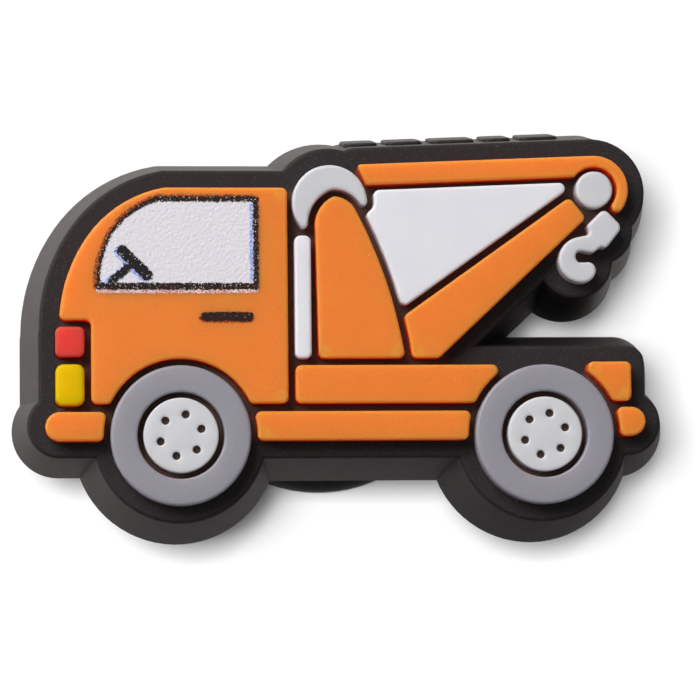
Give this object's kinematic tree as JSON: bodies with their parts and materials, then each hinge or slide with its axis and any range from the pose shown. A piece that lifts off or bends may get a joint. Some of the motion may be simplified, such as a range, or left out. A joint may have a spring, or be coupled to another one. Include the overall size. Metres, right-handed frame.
{
  "type": "shoe charm shaped as a recovery truck",
  "caption": "Soft moulded shoe charm in the shape of a recovery truck, with coloured pieces on a black backing and a button peg behind that holds it in a shoe's hole.",
  "frame": {"origin": "middle of the flat underside of the peg's button, on which the charm lies face up", "axes": "+X towards the truck's tail, +Y towards its roof, +Z out of its face, away from the shoe"},
  "size_m": [0.0294, 0.0186, 0.0116],
  "materials": {
    "black_pvc": "matte, soft moulded PVC",
    "orange_pvc": "satin, soft moulded PVC",
    "red_pvc": "satin, soft moulded PVC",
    "yellow_pvc": "satin, soft moulded PVC",
    "grey_pvc": "satin, soft moulded PVC",
    "light_grey_pvc": "satin, soft moulded PVC",
    "white_pvc": "satin, soft moulded PVC",
    "white_ink": "matt printed ink",
    "black_ink": "matt printed ink"
  },
  "bodies": {
    "root": {"backing": "black_pvc", "peg_neck": "black_pvc", "peg_button": "black_pvc", "cab_panel": "orange_pvc", "mast": "orange_pvc", "boom": "orange_pvc", "top_arm": "orange_pvc", "upper_rail": "orange_pvc", "lower_rail": "orange_pvc", "front_bumper": "orange_pvc", "rear_bumper": "orange_pvc", "rear_panel": "orange_pvc", "red_lamp": "red_pvc", "yellow_lamp": "yellow_pvc", "front_tyre": "grey_pvc", "rear_tyre": "grey_pvc", "front_hub": "light_grey_pvc", "rear_hub": "light_grey_pvc", "crescent_cap": "light_grey_pvc", "sheave": "light_grey_pvc", "hook": "light_grey_pvc", "post": "white_pvc", "cable_panel": "white_pvc", "window_print": "white_ink", "outline_print": "black_ink", "steering_print": "black_ink", "handle_print": "black_ink"}
  },
  "joints": []
}
